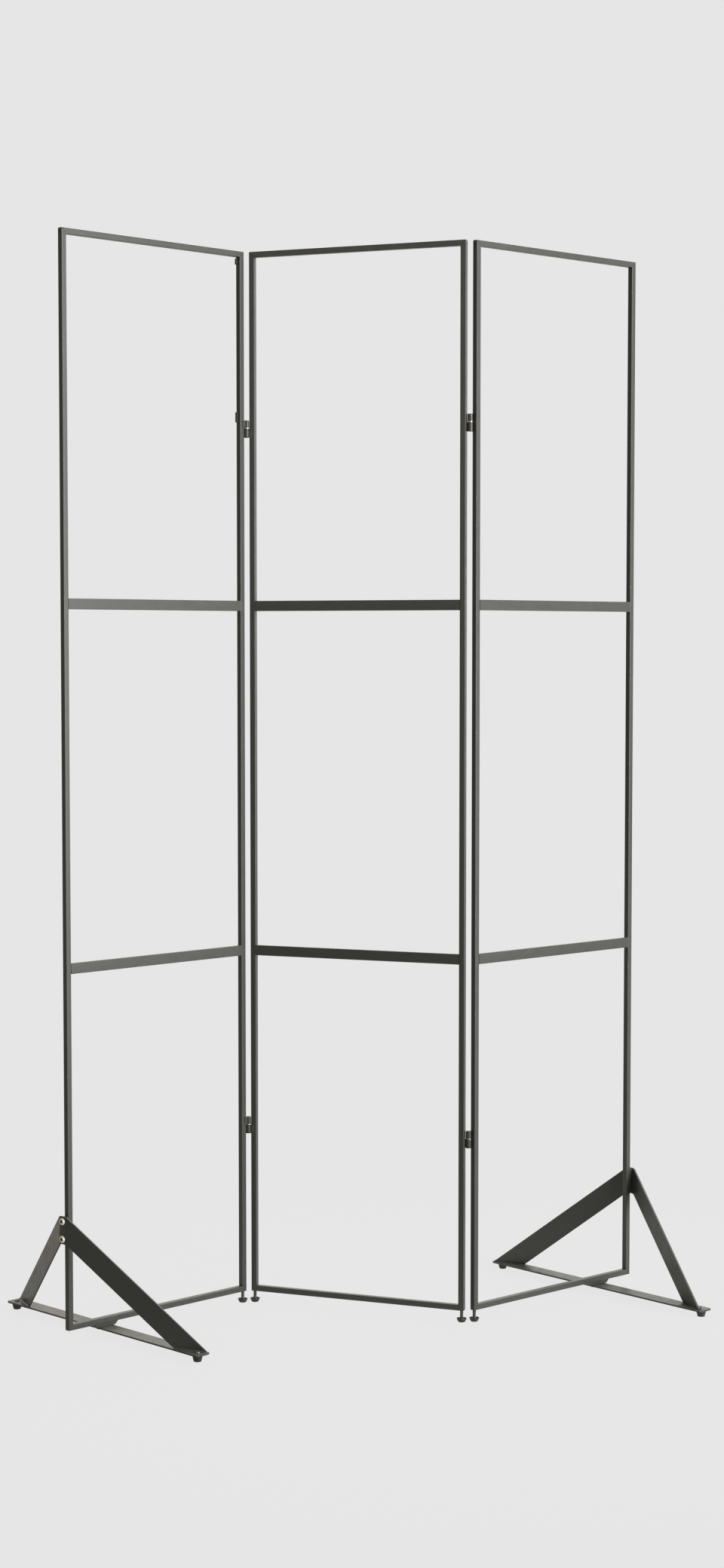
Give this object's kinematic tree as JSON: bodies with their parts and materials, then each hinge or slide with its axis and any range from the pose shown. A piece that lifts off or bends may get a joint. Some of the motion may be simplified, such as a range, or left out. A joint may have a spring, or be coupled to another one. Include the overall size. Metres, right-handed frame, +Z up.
{
  "type": "folding room divider screen",
  "caption": "Zigzag room divider of hinged open frames in square tube with crossbars, levelling feet and splayed flat-steel end stands.",
  "frame": {"origin": "on the floor, under the middle of the folded outline", "axes": "+Z up, +X along the middle panel from the left panel to the right one, -Y the front"},
  "size_m": [1.165, 0.833, 1.85],
  "materials": {
    "powder_coat": "fine-texture matt powder coat, dark olive black",
    "bright_zinc": "satin zinc plate with a warm cast",
    "plated_steel": "satin zinc plate",
    "stud_steel": "black zinc plate",
    "bronze_washer": "satin bronze",
    "glide_plastic": "matt moulded nylon"
  },
  "bodies": {
    "middle_panel": {"middle_left_upright": "powder_coat", "middle_right_upright": "powder_coat", "middle_top_rail": "powder_coat", "middle_bottom_rail": "powder_coat", "middle_low_crossbar": "powder_coat", "middle_high_crossbar": "powder_coat", "middle_foot_plugs": "plated_steel", "left_low_hinge_base": "powder_coat", "left_high_hinge_base": "powder_coat", "right_low_hinge_base": "powder_coat", "right_high_hinge_base": "powder_coat", "left_hinge_pins": "plated_steel", "right_hinge_pins": "plated_steel", "left_hinge_washers": "bronze_washer", "right_hinge_washers": "bronze_washer"},
    "left_panel": {"left_outer_upright": "powder_coat", "left_inner_upright": "powder_coat", "left_top_rail": "powder_coat", "left_bottom_rail": "powder_coat", "left_low_crossbar": "powder_coat", "left_high_crossbar": "powder_coat", "left_keeper_tabs": "powder_coat", "left_low_hinge_socket": "powder_coat", "left_high_hinge_socket": "powder_coat", "left_stand_bar": "powder_coat", "left_stand_strap": "powder_coat", "left_stand_spacer": "powder_coat", "left_stand_rivet_nuts": "plated_steel", "left_stand_clamp_screws": "bright_zinc", "left_stand_bar_screws": "plated_steel", "left_stand_glide_screws": "plated_steel", "left_stand_glides": "glide_plastic", "left_stand_saddle": "glide_plastic", "left_foot_plug": "plated_steel"},
    "right_panel": {"right_inner_upright": "powder_coat", "right_outer_upright": "powder_coat", "right_top_rail": "powder_coat", "right_bottom_rail": "powder_coat", "right_low_crossbar": "powder_coat", "right_high_crossbar": "powder_coat", "right_low_hinge_socket": "powder_coat", "right_high_hinge_socket": "powder_coat", "right_stand_bar": "powder_coat", "right_stand_strap": "powder_coat", "right_stand_spacer": "powder_coat", "right_stand_rivet_nuts": "plated_steel", "right_stand_clamp_screws": "bright_zinc", "right_stand_bar_screws": "plated_steel", "right_stand_glide_screws": "plated_steel", "right_stand_glides": "glide_plastic", "right_stand_saddle": "glide_plastic", "right_foot_plug": "plated_steel"},
    "left_foot_pad": {"left_foot_pad": "glide_plastic"},
    "left_foot_stud": {"left_foot_stud": "stud_steel"},
    "middle_left_foot_pad": {"middle_left_foot_pad": "glide_plastic"},
    "middle_left_foot_stud": {"middle_left_foot_stud": "stud_steel"},
    "middle_right_foot_pad": {"middle_right_foot_pad": "glide_plastic"},
    "middle_right_foot_stud": {"middle_right_foot_stud": "stud_steel"},
    "right_foot_pad": {"right_foot_pad": "glide_plastic"},
    "right_foot_stud": {"right_foot_stud": "stud_steel"}
  },
  "joints": [
    {"name": "left_fold", "type": "hinge", "parent": "middle_panel", "child": "left_panel", "pos_m": [-0.20841, -0.00642, 0.935], "axis": [0, 0, 1], "range_deg": [-86, 59]},
    {"name": "right_fold", "type": "hinge", "parent": "middle_panel", "child": "right_panel", "pos_m": [0.20159, 0.00358, 0.935], "axis": [0, 0, 1], "range_deg": [-84, 61]},
    {"name": "left_foot_height", "type": "slide", "parent": "left_panel", "child": "left_foot_pad", "axis": [0, 0, 1], "range_m": [-0.008, 0.008]},
    {"name": "left_foot_turn", "type": "hinge", "parent": "left_foot_pad", "child": "left_foot_stud", "pos_m": [-0.21705, -0.01352, 0.01], "axis": [0, 0, 1], "range_deg": [-2900, 2900]},
    {"name": "middle_left_foot_height", "type": "slide", "parent": "middle_panel", "child": "middle_left_foot_pad", "axis": [0, 0, 1], "range_m": [-0.008, 0.008]},
    {"name": "middle_left_foot_turn", "type": "hinge", "parent": "middle_left_foot_pad", "child": "middle_left_foot_stud", "pos_m": [-0.19841, -0.00142, 0.01], "axis": [0, 0, 1], "range_deg": [-2900, 2900]},
    {"name": "middle_right_foot_height", "type": "slide", "parent": "middle_panel", "child": "middle_right_foot_pad", "axis": [0, 0, 1], "range_m": [-0.008, 0.008]},
    {"name": "middle_right_foot_turn", "type": "hinge", "parent": "middle_right_foot_pad", "child": "middle_right_foot_stud", "pos_m": [0.19159, -0.00142, 0.01], "axis": [0, 0, 1], "range_deg": [-2900, 2900]},
    {"name": "right_foot_height", "type": "slide", "parent": "right_panel", "child": "right_foot_pad", "axis": [0, 0, 1], "range_m": [-0.008, 0.008]},
    {"name": "right_foot_turn", "type": "hinge", "parent": "right_foot_pad", "child": "right_foot_stud", "pos_m": [0.21047, 0.01038, 0.01], "axis": [0, 0, 1], "range_deg": [-2900, 2900]}
  ],
  "couplings": [
    {"joint": "left_foot_turn", "follows": "left_foot_height", "rad_per_m": 6283.2},
    {"joint": "middle_left_foot_turn", "follows": "middle_left_foot_height", "rad_per_m": 6283.2},
    {"joint": "middle_right_foot_turn", "follows": "middle_right_foot_height", "rad_per_m": 6283.2},
    {"joint": "right_foot_turn", "follows": "right_foot_height", "rad_per_m": 6283.2}
  ]
}
